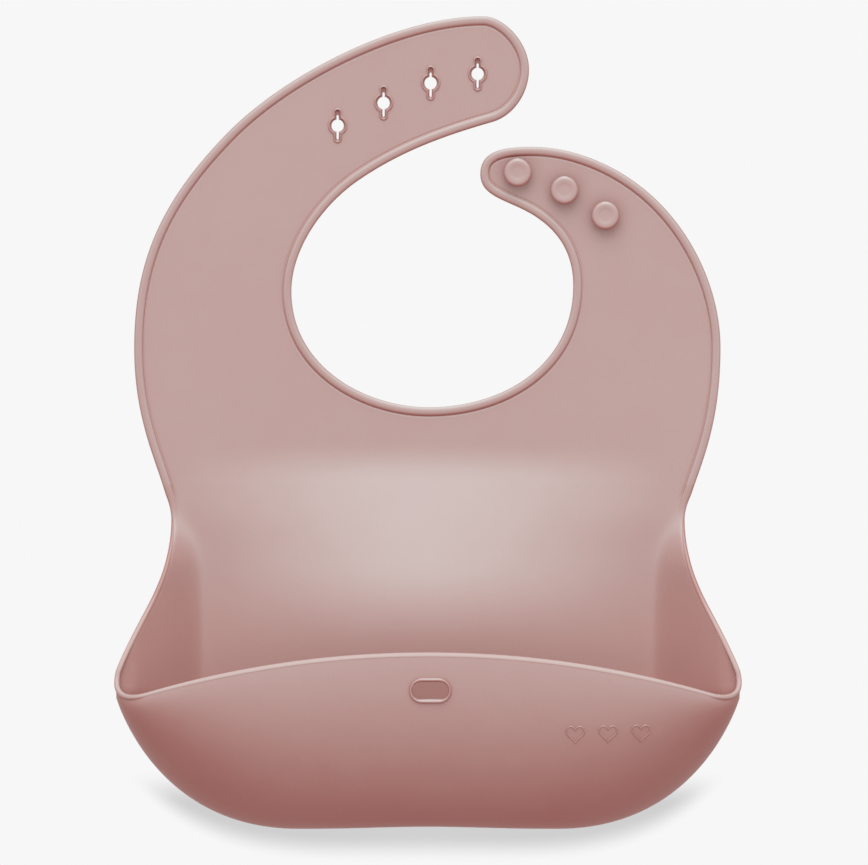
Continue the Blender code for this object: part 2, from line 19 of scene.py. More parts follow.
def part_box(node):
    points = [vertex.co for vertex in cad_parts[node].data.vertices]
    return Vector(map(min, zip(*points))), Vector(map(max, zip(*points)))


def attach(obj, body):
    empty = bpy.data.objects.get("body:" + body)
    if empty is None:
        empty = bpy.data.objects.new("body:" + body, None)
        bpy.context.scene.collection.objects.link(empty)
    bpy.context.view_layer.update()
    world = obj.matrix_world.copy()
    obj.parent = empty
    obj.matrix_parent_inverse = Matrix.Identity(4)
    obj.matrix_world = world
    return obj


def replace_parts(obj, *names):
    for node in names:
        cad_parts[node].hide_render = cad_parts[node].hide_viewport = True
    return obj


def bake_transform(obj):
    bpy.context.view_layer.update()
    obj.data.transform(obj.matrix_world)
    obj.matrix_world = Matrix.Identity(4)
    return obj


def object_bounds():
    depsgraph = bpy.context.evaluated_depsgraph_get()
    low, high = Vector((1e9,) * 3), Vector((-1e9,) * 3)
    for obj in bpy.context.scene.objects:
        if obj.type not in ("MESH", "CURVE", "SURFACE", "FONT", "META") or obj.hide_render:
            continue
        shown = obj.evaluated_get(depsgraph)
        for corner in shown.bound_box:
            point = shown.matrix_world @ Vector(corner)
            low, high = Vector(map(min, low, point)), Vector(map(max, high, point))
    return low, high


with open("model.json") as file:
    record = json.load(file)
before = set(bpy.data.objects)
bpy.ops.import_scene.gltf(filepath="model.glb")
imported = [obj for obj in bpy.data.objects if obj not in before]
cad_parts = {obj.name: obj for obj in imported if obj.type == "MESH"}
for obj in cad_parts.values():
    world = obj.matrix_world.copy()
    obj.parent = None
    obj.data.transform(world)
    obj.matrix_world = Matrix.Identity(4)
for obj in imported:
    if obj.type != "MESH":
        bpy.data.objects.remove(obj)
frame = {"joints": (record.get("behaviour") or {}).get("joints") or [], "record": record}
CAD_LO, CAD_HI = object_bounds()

MM = 0.001
JOINT = {joint["name"]: joint for joint in frame["joints"]}


def mid_of(part):
    low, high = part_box(part)
    return (low + high) / 2 / MM


def size_of(part):
    low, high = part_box(part)
    return (high - low) / MM


# ----------------------------------------------------------------- dimensions
SHEET_T = 2.0
FOLD_Z = JOINT["chest_fold"]["pos_m"][2] / MM
TOP_CUT = FOLD_Z + 8.4         # the fold piece runs from here ...
FOLD_CUT = FOLD_Z - 9.6        # ... to here
NECK_M = next(m for m in frame["record"]["mounts"] if m["name"] == "neck_opening_rest")["pos_m"]
NECK = Vector((NECK_M[0] / MM, 0, NECK_M[2] / MM))

# Flat outline from the left waist over both straps to the right waist:
# X, Z, tangent direction in degrees, handle in, handle out
OUTLINE = (
    (-98.4, -35.6, 90, 0.0, 17.8),
    (-112.5, 33.4, 90, 35.3, 33.5),
    (-76.8, 115.7, 45.7, 36.3, 30.2),
    (21.2, 160.4, 0, 33.6, 7.5),
    (38.7, 140.0, -90, 10.7, 9.2),
    (24.7, 119.9, -164, 8.3, 19.9),
    (-26.4, 97.7, -145.8, 19.4, 17.5),
    (-52.3, 55.1, -90, 15.7, 28.8),
    (0.3, 10.7, 0, 24.6, 28.9),
    (55.6, 57.2, 90, 30.2, 13.1),
    (35.3, 86.9, 155, 15.6, 9.1),
    (20.0, 100.0, 90, 7.4, 9.3),
    (39.8, 110.4, 0, 10.0, 15.9),
    (85.6, 91.8, -42.1, 17.1, 23.4),
    (112.0, 33.4, -90, 20.0, 39.5),
    (98.4, -35.6, -90, 15.9, 0.0),
)
OUTLINE_STEP = 1.6

# Right half of the pocket's silhouette, (X, Z) from the waist to the bottom middle
WAIST = (98.4, -30.1)
FLARE = (110.4, -70.4)
FLARE_DIR = 62.0               # degrees below the horizontal
CORNER = (120.5, -93.0)        # corner of the mouth
LOWER = (119.75, -96.2)
KNEE = (111.4, -116.8)
KNEE_DIR = 59.1                # degrees above the horizontal, looking back up
BOTTOM_FLAT = (50.0, -150.5)
BOTTOM_MID = (0.0, -149.6)
SIDE_POINTS = 80               # points on each long stretch
TURN_POINTS = 6                # points on the short turn below the corner

CORNER_X = CORNER[0]
CORNER_DEPTH = 28.0            # how far forward the mouth's corners lie
MOUTH_Z = -95.0
POLE = (118.65, -28.4, MOUTH_Z)    # where the walls draw together in the rim
FOOT_R = 7.0                   # rounding along the foot of the pocket
RIM_DEPTH = 55.0               # how far forward the front rim's middle lies
CROWN_Z = -82.6                # top of the front rim, in the middle
CROWN_DROP = 17.2              # fall of the front rim towards its ends
CROWN_HALF = 113.0
RIM_R = 1.34
CORNER_R = 1.08
RIM_OUT = 0.1                  # how far the rim stands proud of the front wall
TURN_X = 106.5                 # where the front rim starts to turn round the corner


# --------------------------------------------------------------------- curves
def cubic(start, handle_1, handle_2, end, count, endpoint=False):
    """Points on a cubic Bezier curve."""
    t = np.linspace(0, 1, count, endpoint=endpoint)[:, None]
    p0, p1, p2, p3 = (np.array(p, float) for p in (start, handle_1, handle_2, end))
    return (1 - t) ** 3 * p0 + 3 * (1 - t) ** 2 * t * p1 + 3 * (1 - t) * t * t * p2 + t ** 3 * p3


def heading(degrees):
    return math.cos(math.radians(degrees)), math.sin(math.radians(degrees))


def outline_path():
    points = []
    for start, end in zip(OUTLINE[:-1], OUTLINE[1:]):
        out_x, out_z = heading(start[2])
        in_x, in_z = heading(end[2])
        handle_1 = (start[0] + out_x * start[4], start[1] + out_z * start[4])
        handle_2 = (end[0] - in_x * end[3], end[1] - in_z * end[3])
        count = max(6, round(math.dist(start[:2], end[:2]) / OUTLINE_STEP))
        points.append(cubic(start[:2], handle_1, handle_2, end[:2], count))
    points.append(np.array([OUTLINE[-1][:2]]))
    return np.vstack(points)


def side_path():
    flare_x, flare_z = heading(-FLARE_DIR)
    knee_x, knee_z = heading(KNEE_DIR)
    return np.vstack([
        cubic(WAIST, (WAIST[0], WAIST[1] - 18.8),
              (FLARE[0] - flare_x * 9, FLARE[1] - flare_z * 9), FLARE, SIDE_POINTS),
        cubic(FLARE, (FLARE[0] + flare_x * 7, FLARE[1] + flare_z * 7),
              (CORNER[0], CORNER[1] + 3), CORNER, SIDE_POINTS),
        cubic(CORNER, (CORNER[0], CORNER[1] - 1),
              (LOWER[0] + 0.1, LOWER[1] + 1), LOWER, TURN_POINTS),
        cubic(LOWER, (LOWER[0] - 0.45, LOWER[1] - 5.0),
              (KNEE[0] + knee_x * 8, KNEE[1] + knee_z * 8), KNEE, SIDE_POINTS),
        cubic(KNEE, (KNEE[0] - knee_x * 20, KNEE[1] - knee_z * 20),
              (BOTTOM_FLAT[0] + 32.0, BOTTOM_FLAT[1]), BOTTOM_FLAT, SIDE_POINTS),
        cubic(BOTTOM_FLAT, (BOTTOM_FLAT[0] - 21, BOTTOM_FLAT[1]),
              (15, BOTTOM_MID[1]), BOTTOM_MID, SIDE_POINTS),
        np.array([BOTTOM_MID]),
    ])


def lower_edge(path):
    """The start of a path, from the waist to just above Z 20."""
    return path[:int(np.argmax(path[:, 1] > 20)) + 1]


PATH = outline_path()
FLAT_EDGE = {-1: lower_edge(PATH), 1: lower_edge(PATH[::-1])}
SIDE = side_path()
SIDE_DOWN = SIDE[:int(np.argmin(SIDE[:, 1])) + 1]      # waist to lowest point

# the silhouette from just above the mouth's corner, by angle about the mouth's middle
LOW = SIDE[2 * SIDE_POINTS - 6:][::-1]
LOW_ANGLE = np.arctan2(LOW[:, 0], -(LOW[:, 1] - MOUTH_Z))


# ------------------------------------------------------------ scoop and pocket
def smooth(t):
    t = np.clip(t, 0.0, 1.0)
    return t * t * (3 - 2 * t)


def below(value, start, span):
    """Rises smoothly from 0 at start to 1 at span below it."""
    return smooth((start - value) / span)


def side_half(z):
    """Half width of the pocket part's silhouette."""
    return np.interp(-z, -SIDE_DOWN[:, 1], SIDE_DOWN[:, 0])


def edge_x(side, z):
    """|x| of the silhouette on one side (-1 left, 1 right) at height z."""
    flat = np.interp(z, FLAT_EDGE[side][:, 1], np.abs(FLAT_EDGE[side][:, 0]))
    pocket = WAIST[0] if z > WAIST[1] else side_half(z)
    share = below(z, -22.0, 12.0)
    return float(flat * (1 - share) + pocket * share)


def crease_x(z):
    """|x| of the valley between the scoop and a gusset: it leaves the edge bead
    at the waist and runs straight down from there."""
    fall = 3.0 * np.logaddexp(0, (-32.5 - z) / 3.0)
    return 87.4 + 8.8 * np.exp(-fall / 9.0)


def slope_at(z):
    """How steeply the scoop runs forward on the centre line at height z."""
    forward = below(z, -1.5, 17.0) * (1 - below(z, -49.0, 32.0))
    back = -0.04 * below(z, -72.0, 12.0)
    return 0.248 * forward + back


STATION_Z = np.linspace(0, -160, 641)
STATION_STEP = 0.25
SLOPES = slope_at(STATION_Z)
STATION_Y = -np.concatenate([[0], np.cumsum((SLOPES[1:] + SLOPES[:-1]) / 2 * STATION_STEP)])


def back_y(x, z):
    """Depth of the bib's back face over the scoop and gussets."""
    x = np.abs(x)
    crease = crease_x(z)
    dome = np.maximum(0.0, 1 - np.minimum(x / crease, 1.0) ** 2) ** 1.3
    hump = np.interp(-z, -STATION_Z, STATION_Y) * dome
    gusset_slope = 0.872 * below(z, -22.0, 30.0) * (1 - below(z, -96.0, 46.0))
    soft = 1.9                                         # rounding of the valley
    past = np.minimum(x, side_half(np.minimum(z, WAIST[1]))) - crease
    rise = soft * np.logaddexp(0, past / soft) - soft * np.logaddexp(0, -crease / soft)
    return hump - gusset_slope * rise


def contour(across):
    """The foot of the pocket, 0 in the middle to 1 at the mouth's corner."""
    angle = np.radians(90 * np.minimum(np.abs(across), 1.0))
    x = np.interp(angle, LOW_ANGLE, LOW[:, 0])
    z = np.interp(angle, LOW_ANGLE, LOW[:, 1])
    y = back_y(np.maximum(x - 0.5, 0), z) - FOOT_R * (1 - np.abs(across) ** 4)
    return x, y, z


def base_crown(x):
    """Depth and height of the front rim's top over x >= 0, before it turns."""
    z = CROWN_Z - CROWN_DROP * (np.minimum(x, CROWN_HALF) / CROWN_HALF) ** 2.05
    edge = np.minimum(1.0, x / CORNER_X)
    bow = np.maximum(1 - edge ** 3.1, 0) ** 0.43
    return -CORNER_DEPTH - (RIM_DEPTH - CORNER_DEPTH) * bow, z


def rim_r(x):
    """Radius of the rim: a little thinner round the corners."""
    return CORNER_R + (RIM_R - CORNER_R) * below(x, TURN_X, 40.0)


def rim_middle(x):
    """Middle of the front rim over x >= 0."""
    y, z = base_crown(x)
    radius = rim_r(x)
    return np.array((x, y + radius - RIM_OUT, z - radius))


def corner_curve():
    """Middle line of the rim round the right-hand corner of the mouth."""
    start = edge_point(1, -90.0, CORNER_R)
    end = rim_middle(TURN_X)
    end_y, end_z = base_crown(TURN_X)
    next_y, next_z = base_crown(TURN_X - 4)
    tangent = np.array((4.0, float(end_y - next_y), float(end_z - next_z)))
    tangent /= np.linalg.norm(tangent)
    handle = start + np.array((2.4, 0.6, -9.2))
    return cubic(start, handle, end + tangent * 10.5, end, 31, endpoint=True)


def crown(x):
    """Top edge of the front wall above |x|: depth and height of the outer face.
    Past TURN_X it runs inside the rim, round the corner."""
    x = np.abs(x)
    y, z = base_crown(x)
    fade = 1 - smooth((x - TURN_X) / 9.0)
    turn_y = np.interp(x, CORNER_LOW[:, 0], CORNER_LOW[:, 1]) - (CORNER_R - RIM_OUT) * fade
    turn_z = np.interp(x, CORNER_LOW[:, 0], CORNER_LOW[:, 2]) + 0.1 * fade
    return np.where(x > TURN_X, turn_y, y), np.where(x > TURN_X, turn_z, z - rim_r(x) + 0.1)


def open_hull(across, along):
    """Outer face of the pocket before its corners are drawn in."""
    side = np.sign(across)
    share = np.minimum(np.abs(across), 1.0)
    foot_x, foot_y, foot_z = contour(share)
    top_x = CORNER_X * share
    if along < 0:                                      # back wall, then round the foot
        length = np.maximum(np.hypot(foot_x - top_x, foot_z - MOUTH_Z), 1e-3)
        radius = np.minimum(FOOT_R * (1 - share ** 4), 0.6 * length)
        radius = np.maximum(radius, 1e-4)
        straight = np.maximum(length - radius, 1e-3)
        distance = (1 + along) * (straight + radius * math.pi / 2)
        turn = np.clip((distance - straight) / radius, 0, math.pi / 2)
        on_wall = distance <= straight
        down = np.where(on_wall, distance, straight + radius * np.sin(turn)) / length
        bend = np.where(on_wall, 0.0, 1 - np.cos(turn))
        x = top_x + (foot_x - top_x) * down
        z = MOUTH_Z + (foot_z - MOUTH_Z) * down
        y = back_y(np.minimum(x, side_half(z)), z) * (1 - bend) + foot_y * bend
    else:                                              # belly and front wall
        rim_y, rim_z = crown(top_x)
        angle = along * math.pi / 2
        x = foot_x + (top_x - foot_x) * (1 - math.cos(angle))
        z = foot_z + (rim_z - foot_z) * (1 - math.cos(angle))
        y = foot_y + (rim_y - foot_y) * math.sin(angle)
    return np.stack([side * x, y, z], -1)


def hull(across, along):
    """Outer face of the pocket: across -1..1, along -1 at mouth height on the
    back wall, 0 along the foot, 1 at the front rim.  It draws in to a point
    inside the rim at each corner of the mouth."""
    draw = 0.85 * smooth((np.abs(across) - 0.977) / 0.0122)[..., None]
    end = np.stack([np.sign(across) * POLE[0], np.full_like(across, POLE[1]),
                    np.full_like(across, POLE[2])], -1)
    return open_hull(across, along) * (1 - draw) + end * draw


def normals(face, x, row, step_x, step_row):
    """Unit normals of the surface face(x, row)."""
    across = face(x + step_x, row) - face(x - step_x, row)
    along = face(x, row + step_row) - face(x, row - step_row)
    normal = np.cross(across, along)
    return normal / np.maximum(np.linalg.norm(normal, axis=1), 1e-9)[:, None]


def sheet_face(x, z):
    return np.stack([x, back_y(x, z), np.full_like(x, z)], -1)


def sheet_normals(x, z):
    """Normals of the scoop and gussets, pointing to the front."""
    normal = normals(sheet_face, x, z, 0.4, 0.4)
    return np.where(normal[:, 1:2] > 0, -normal, normal)


def edge_point(side, z, radius):
    """Middle of an edge bar of this radius, half way through the sheet."""
    x = np.array([side * (edge_x(side, z) - radius)])
    return sheet_face(x, z)[0] + sheet_normals(x, z)[0] * (SHEET_T / 2)


CORNER_LINE = corner_curve()
CORNER_LOW = CORNER_LINE[int(np.argmax(CORNER_LINE[:, 0])):][::-1]     # by rising x


# ------------------------------------------------------------------ materials
def node_maker(tree):
    """Empty a node tree; return makers for any node, a math result and a colour mix.
    Inputs map a socket to a value or to the socket that feeds it."""
    tree.nodes.clear()

    def node(kind, inputs=(), **settings):
        made = tree.nodes.new("ShaderNode" + kind)
        for name, value in settings.items():
            setattr(made, name, value)
        for socket, value in dict(inputs).items():
            if isinstance(value, bpy.types.NodeSocket):
                tree.links.new(value, made.inputs[socket])
            else:
                made.inputs[socket].default_value = value
        return made

    def calc(operation, *values, clamp=False):
        inputs = dict(enumerate(values))
        return node("Math", inputs, operation=operation, use_clamp=clamp).outputs[0]

    def mix(factor, first, second):
        # sockets 6 and 7 are the two colours, output 2 the mixed colour
        return node("Mix", {"Factor": factor, 6: first, 7: second}, data_type="RGBA").outputs[2]

    return node, calc, mix


TONE = 46.0                    # contrast of paleness between facing away and facing the light
FLAT_UP = 0.853                # light share of the flat sheet seen from the front ...
FLAT_TONE = 0.531              # ... and its paleness
DEEP = (0.420, 0.115, 0.093)   # rose where little light gathers
INSIDE = (0.71, 0.35, 0.315)   # rose of the light inside the pocket


def silicone(name, pale, rough, grain, aslant=0.0, painted_rim_highlight=False):
    """Matte moulded silicone: a rose with painted light and shade, paler on faces
    turned to the light from above and in front, with mould grain, soft mottling
    and a dusty sheen.  aslant adds painted light to faces that look sideways."""
    material = bpy.data.materials.new(name)
    material.use_nodes = True
    node, calc, mix = node_maker(material.node_tree)

    # place at rest (metres), and the mean of the normals at rest and as bent
    place = node("Attribute", attribute_name="rest_place").outputs["Vector"]
    rest = node("Attribute", attribute_name="rest_normal").outputs["Vector"]
    bent = node("NewGeometry").outputs["Normal"]
    both = node("VectorMath", {0: rest, 1: bent}, operation="ADD").outputs[0]
    mean = node("VectorMath", {0: both, "Scale": 0.5}, operation="SCALE").outputs[0]
    face_x, face_y, face_z = node("SeparateXYZ", {0: mean}).outputs
    _, place_y, place_z = node("SeparateXYZ", {0: place}).outputs

    def noise(scale, detail, roughness=0.5):
        inputs = {"Scale": scale, "Detail": detail, "Roughness": roughness, "Vector": place}
        return node("TexNoise", inputs).outputs["Fac"]

    def centred(pattern, amount):
        return calc("MULTIPLY_ADD", pattern, amount, -amount / 2)

    def gate(operation, first, second, rate):
        """A sum or difference turned into a 0..1 ramp."""
        return calc("MULTIPLY", calc(operation, first, second), rate, clamp=True)

    mottle = noise(scale=14.0, detail=3.0)             # slow, about 7 cm across
    cloud = noise(scale=90.0, detail=4.0, roughness=0.55)      # centimetre bloom
    fine = noise(scale=2600.0, detail=2.0, roughness=0.6)      # moulded grain

    # how squarely the face looks to the light, from above and in front
    front = calc("MULTIPLY", calc("ABSOLUTE", face_y), 0.75)
    above = calc("MULTIPLY", face_z, 0.66)
    aside = calc("MULTIPLY", calc("MAXIMUM", above, 0.0), calc("ABSOLUTE", face_x))
    light = calc("SUBTRACT", calc("ADD", front, above), aside)
    light = calc("ADD", light, calc("MULTIPLY", calc("ABSOLUTE", face_x), aslant))
    light = calc("MULTIPLY", calc("ADD", light, 0.7), 1 / 1.7)

    # the back, which lies against the child, is one even colour
    behind = gate("ADD", place_y, 0.032, rate=150.0)
    back = calc("MULTIPLY", gate("SUBTRACT", face_y, 0.1, rate=2.0), behind)
    light = calc("ADD", light, calc("MULTIPLY", calc("SUBTRACT", FLAT_UP, light), back))

    # paleness grows as a power, with a further lift on the best lit faces
    tone = calc("MULTIPLY", calc("POWER", TONE, light), FLAT_TONE * TONE ** -FLAT_UP)
    lift = calc("MULTIPLY", calc("MAXIMUM", calc("SUBTRACT", light, 0.856), 0.0), 1.25)
    tone = calc("ADD", tone, lift, clamp=True)
    # painted highlight on the rim: its light tone is scaled by 0.7 high up, rising to 1.75 low
    # down
    if painted_rim_highlight:                                       # paler, above all low down
        rim_highlight_share = gate("SUBTRACT", -0.060, place_z, rate=45.0)
        boost = calc("ADD", calc("MULTIPLY", rim_highlight_share, 1.05), 0.70)
        tone = calc("MULTIPLY", tone, boost, clamp=True)

    # inside the pocket the light comes back off rose walls only
    deep_in = gate("SUBTRACT", -0.076, place_z, rate=45.0)
    scoop = gate("SUBTRACT", -0.052, place_z, rate=33.0)
    inward = calc("MULTIPLY", face_y, -4.0, clamp=True)
    not_down = gate("ADD", face_z, 0.22, rate=8.0)
    inside = calc("MAXIMUM", calc("MULTIPLY", deep_in, 0.5), calc("MULTIPLY", scoop, 0.22))
    for part in (behind, inward, not_down):
        inside = calc("MULTIPLY", inside, part)

    # painted shade: darker in creases and hollows by ambient occlusion, then the three scales of
    # mottling
    crease_shade = node("AmbientOcclusion", {"Distance": 0.007}, samples=6).outputs["AO"]
    paleness = calc("MULTIPLY", tone, calc("MULTIPLY_ADD", crease_shade, 0.52, 0.48))
    paleness = calc("ADD", paleness, centred(mottle, 0.10))
    paleness = calc("ADD", paleness, centred(cloud, 0.06))
    paleness = calc("ADD", paleness, centred(fine, 0.10), clamp=True)
    colour = mix(inside, mix(paleness, (*DEEP, 1), (*pale, 1)), (*INSIDE, 1))

    height = calc("MULTIPLY_ADD", fine, 1.0, calc("MULTIPLY", cloud, 1.4))
    bump = node("Bump", {"Strength": grain, "Distance": 0.00012, "Height": height})
    surface = node("BsdfPrincipled", {
        "Base Color": colour,
        "Roughness": calc("MULTIPLY_ADD", cloud, 0.14, rough - 0.07),
        "Specular IOR Level": 0.36,
        "Sheen Weight": 0.12,
        "Sheen Roughness": 0.45,
        "Sheen Tint": (1.0, 0.93, 0.91, 1),
        "Normal": bump.outputs[0],
    })
    node("OutputMaterial", {0: surface.outputs[0]})
    return material


PALE = (0.657, 0.588, 0.566)
LOOKS = {
    "silicone_sheet": silicone("silicone_sheet", PALE, rough=0.58, grain=0.30, aslant=0.2),
    "silicone_pocket": silicone("silicone_pocket", PALE, rough=0.55, grain=0.26),
    "silicone_detail": silicone("silicone_detail", (0.668, 0.598, 0.576), rough=0.50,
                                grain=0.20),
    # the rim carries a painted highlight, paler low down
    "silicone_rim": silicone("silicone_rim", (0.628, 0.492, 0.464), rough=0.50, grain=0.20,
                             aslant=0.15, painted_rim_highlight=True),
}


# --------------------------------------------------------------- mesh helpers
def store(data, name, domain, values, field, count):
    """Copy a mesh's own vectors into a named attribute."""
    flat = np.empty(count * 3, dtype=np.float32)
    values.foreach_get(field, flat)
    data.attributes.new(name, "FLOAT_VECTOR", domain).data.foreach_set("vector", flat)


def make(name, mesh, slot, sharp=50, look=None):
    """Turn a bmesh into an object; sharp is the angle of its hard edges."""
    bmesh.ops.recalc_face_normals(mesh, faces=mesh.faces)
    data = bpy.data.meshes.new(name)
    mesh.to_mesh(data)
    mesh.free()
    data.materials.append(LOOKS[look or slot])
    data.shade_smooth()
    data.set_sharp_from_angle(angle=math.radians(sharp))
    # the colours stay with the silicone when it bends: shape at rest, as attributes
    store(data, "rest_normal", "CORNER", data.corner_normals, "vector", len(data.loops))
    store(data, "rest_place", "POINT", data.vertices, "co", len(data.vertices))
    piece = bpy.data.objects.new(name, data)
    bpy.context.scene.collection.objects.link(piece)
    return piece


def join_rings(mesh, first, second, wrap=True):
    """Quads between two rows of vertices, going all the way round if wrap."""
    for i in range(len(first) if wrap else len(first) - 1):
        j = (i + 1) % len(first)
        mesh.faces.new((first[i], first[j], second[j], second[i]))


def loft(mesh, loops, closed=False):
    """Quads between successive closed loops of equal length."""
    rings = [[mesh.verts.new(Vector(p) * MM) for p in loop] for loop in loops]
    for first, second in zip(rings[:-1], rings[1:]):
        join_rings(mesh, first, second)
    if closed:
        join_rings(mesh, rings[-1], rings[0])
    return rings


def sweep(name, path, radii, slot, sides, closed=False, look=None):
    """Round bar of changing radius along a 3-D path."""
    path = [Vector(p) for p in path]
    count = len(path)
    tangents = []
    for i in range(count):
        before = path[i - 1] if closed or i > 0 else path[0]
        after = path[(i + 1) % count] if closed or i < count - 1 else path[-1]
        tangents.append((after - before).normalized())
    normal = Vector((0, -1, 0))
    if abs(normal.dot(tangents[0])) > 0.9:
        normal = Vector((1, 0, 0))
    normal = (normal - tangents[0] * normal.dot(tangents[0])).normalized()
    turns = [2 * math.pi * k / sides for k in range(sides)]
    loops = []
    for point, tangent, radius in zip(path, tangents, radii):
        normal = (normal - tangent * normal.dot(tangent)).normalized()
        binormal = tangent.cross(normal)
        loops.append([point + (normal * math.cos(turn) + binormal * math.sin(turn)) * radius
                      for turn in turns])
    mesh = bmesh.new()
    rings = loft(mesh, loops, closed)
    if not closed:                                     # low cone on each end
        for end, way in ((0, -1), (-1, 1)):
            ring = rings[end]
            tip = path[end] + tangents[end] * (way * radii[end] * 0.6)
            centre = mesh.verts.new(tip * MM)
            for i in range(sides):
                mesh.faces.new((ring[i], ring[(i + 1) % sides], centre))
    return make(name, mesh, slot, 60, look)


def slice_mesh(mesh, point, normal, geom=None, clear=False):
    """Cut along a plane; clear removes what lies behind its normal."""
    geom = geom or [*mesh.verts, *mesh.edges, *mesh.faces]
    return bmesh.ops.bisect_plane(mesh, geom=geom, dist=1e-7, plane_co=Vector(point) * MM,
                                  plane_no=Vector(normal), clear_inner=clear)


def halve(mesh, point, keep):
    """Keep the part on the side of the plane that keep points to, and cap the cut."""
    cut = slice_mesh(mesh, point, keep, clear=True)
    edges = [e for e in cut["geom_cut"] if isinstance(e, bmesh.types.BMEdge) and e.is_boundary]
    bmesh.ops.holes_fill(mesh, edges=edges, sides=0)


def keep_island(mesh, near):
    """Keep only the connected part that holds the vertex closest to near."""
    near = Vector(near) * MM
    start = min(mesh.verts, key=lambda v: (v.co - near).length_squared)
    seen, todo = {start}, [start]
    while todo:
        vertex = todo.pop()
        for edge in vertex.link_edges:
            other = edge.other_vert(vertex)
            if other not in seen:
                seen.add(other)
                todo.append(other)
    bmesh.ops.delete(mesh, geom=[v for v in mesh.verts if v not in seen], context="VERTS")


# ---------------------------------------------------------- edge bead profile
def profile(bead):
    """(inset from the edge, height above the back face) from the back face round
    the outer edge and over the raised bead.  bead 1 is the full bead, 0 a plain
    rounded edge."""
    points = [(4.4, 0.0), (2.2, 0.0)]
    for i in range(6):                                 # rounded back edge
        angle = math.radians(90 * i / 5)
        points.append((0.6 - 0.6 * math.sin(angle), 0.6 - 0.6 * math.cos(angle)))
    base, swell = 1.05 + 0.35 * bead, 0.95 + 0.50 * bead
    steps = 13
    for i in range(steps + 1):                         # over the bead
        angle = math.radians(180 - 163 * i / steps)
        reach = math.copysign(abs(math.cos(angle)) ** 0.72, math.cos(angle))
        height = base + swell * math.sin(angle) ** 0.66
        if angle < math.pi / 2:
            height = max(height, SHEET_T)
        points.append((1.7 + 1.7 * reach, height))
    # shallow groove along the bead's inner foot
    points += [(3.5, SHEET_T - 0.10 * bead), (3.64, SHEET_T - 0.13 * bead),
               (3.82, SHEET_T - 0.06 * bead), (4.0, SHEET_T), (4.4, SHEET_T)]
    return points


# -------------------------------------------------------- flat sheet and straps
KEYS = [mid_of(f"keyhole_lip_{i}") for i in (1, 2, 3, 4)]
KEY_R = size_of("keyhole_lip_1").x / 2
KEY_H = size_of("keyhole_lip_1").z
# Keyhole rings from the front face over the lip and through to the back face:
# added to the lip's radius, slot width, added to the lip's height, height above
# the back face, slot's shift in Z
KEY_STEPS = (
    (0.35, 3.9, 0.6, 2.0, 0), (0.12, 3.5, 0.2, 2.0, 0), (-0.02, 3.2, 0, 2.2, 0),
    (-0.18, 2.9, -0.35, 2.46, 0), (-0.42, 2.5, -0.8, 2.55, 0), (-0.62, 2.15, -1.2, 2.42, 0),
    (-0.76, 1.9, -1.5, 2.0, 0), (-0.84, 1.75, -1.7, 1.4, 0), (-1.0, 1.5, -2.1, 1.15, 0),
    (-1.25, 1.05, -3.4, 1.1, -0.4), (-1.33, 0.85, -4.0, 0.95, -0.6),
    (-1.35, 0.82, -4.1, 0.15, -0.6), (-1.28, 0.96, -3.9, 0.0, -0.6),
)


def keyhole_loop(centre, radius, width, height, shift):
    """Circle with an upright slot through it; shift moves only the slot in Z."""
    half = width / 2
    join = math.asin(min(0.999, half / radius))
    tip = height / 2 - half
    points = []
    for side in (1, -1):
        for i in range(8):                             # slot end
            angle = math.pi * i / 7
            points.append((centre.x + side * half * math.cos(angle),
                           centre.z + shift + side * (tip + half * math.sin(angle))))
        start, end = math.pi / 2 + join, 3 * math.pi / 2 - join
        for i in range(12):                            # side of the circle
            angle = start + (end - start) * i / 11
            points.append((centre.x + side * radius * math.cos(angle),
                           centre.z + side * radius * math.sin(angle)))
    return points


def sheet_mesh():
    """The whole flat sheet with its bead and keyholes, before it is parted."""
    mesh = bmesh.new()

    def add_row(points, height):
        return [mesh.verts.new((x * MM, -height * MM, z * MM)) for x, z in points]

    tangent = np.gradient(PATH, axis=0)
    tangent /= np.linalg.norm(tangent, axis=1)[:, None]
    inward = np.stack([tangent[:, 1], -tangent[:, 0]], 1)
    rows = [add_row(PATH + inward * inset, height) for inset, height in profile(1.0)]
    for first, second in zip(rows[:-1], rows[1:]):
        join_rings(mesh, first, second, wrap=False)

    front, back = [rows[-1]], [rows[0]]
    for centre in KEYS:
        rings = [add_row(keyhole_loop(centre, KEY_R + radius, width, KEY_H + height, shift), lift)
                 for radius, width, height, lift, shift in KEY_STEPS]
        for first, second in zip(rings[:-1], rings[1:]):
            join_rings(mesh, first, second)
        front.append(rings[0])
        back.append(rings[-1])
    for loops in (front, back):
        flat = [v for loop in loops for v in loop]
        outlines = [[Vector((v.co.x, v.co.z, 0)) for v in loop] for loop in loops]
        for triangle in tessellate_polygon(outlines):
            corners = [flat[k] for k in triangle]
            if len(set(corners)) == 3:
                try:
                    mesh.faces.new(corners)
                except ValueError:     # the tessellation may give a triangle twice
                    pass
    bmesh.ops.remove_doubles(mesh, verts=mesh.verts, dist=1e-7)
    bmesh.ops.recalc_face_normals(mesh, faces=mesh.faces)
    return mesh


def radial(side, degrees):
    """Direction from the neck at this angle above the horizontal, in the XZ plane."""
    angle = math.radians(degrees)
    return Vector((side * math.cos(angle), 0, math.sin(angle)))


def past_radial(side, degrees):
    """Square to that direction, towards larger angles."""
    angle = math.radians(degrees)
    return Vector((-side * math.sin(angle), 0, math.cos(angle)))


